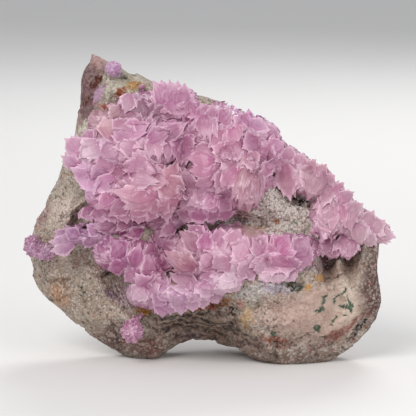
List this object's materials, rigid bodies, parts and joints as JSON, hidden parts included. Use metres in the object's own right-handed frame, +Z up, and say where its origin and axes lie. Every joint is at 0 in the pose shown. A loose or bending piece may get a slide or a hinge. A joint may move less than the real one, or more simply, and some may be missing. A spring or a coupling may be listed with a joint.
{
  "type": "cobaltoan calcite specimen",
  "caption": "Pink leaf-shaped calcite crystals in overlapping clusters over the front of a loose block of pale, mineral-stained rock with a spire at the upper left.",
  "frame": {"origin": "under the middle of the specimen's bounding box, on the surface that it stands on", "axes": "+Z up; +X to the right seen from the front, along the longest extent; the crystals face -Y"},
  "size_m": [0.119, 0.059, 0.0968],
  "materials": {
    "rock": "rough, granular, with ochre, rust-red and malachite-green stains",
    "calcite": "translucent, silky pink crystal with whitish edges"
  },
  "bodies": {
    "root": {"matrix_rock": "rock", "calcite_crust": "calcite", "calcite_patch_left": "calcite", "calcite_patch_low": "calcite", "calcite_patch_spire": "calcite"}
  },
  "joints": []
}
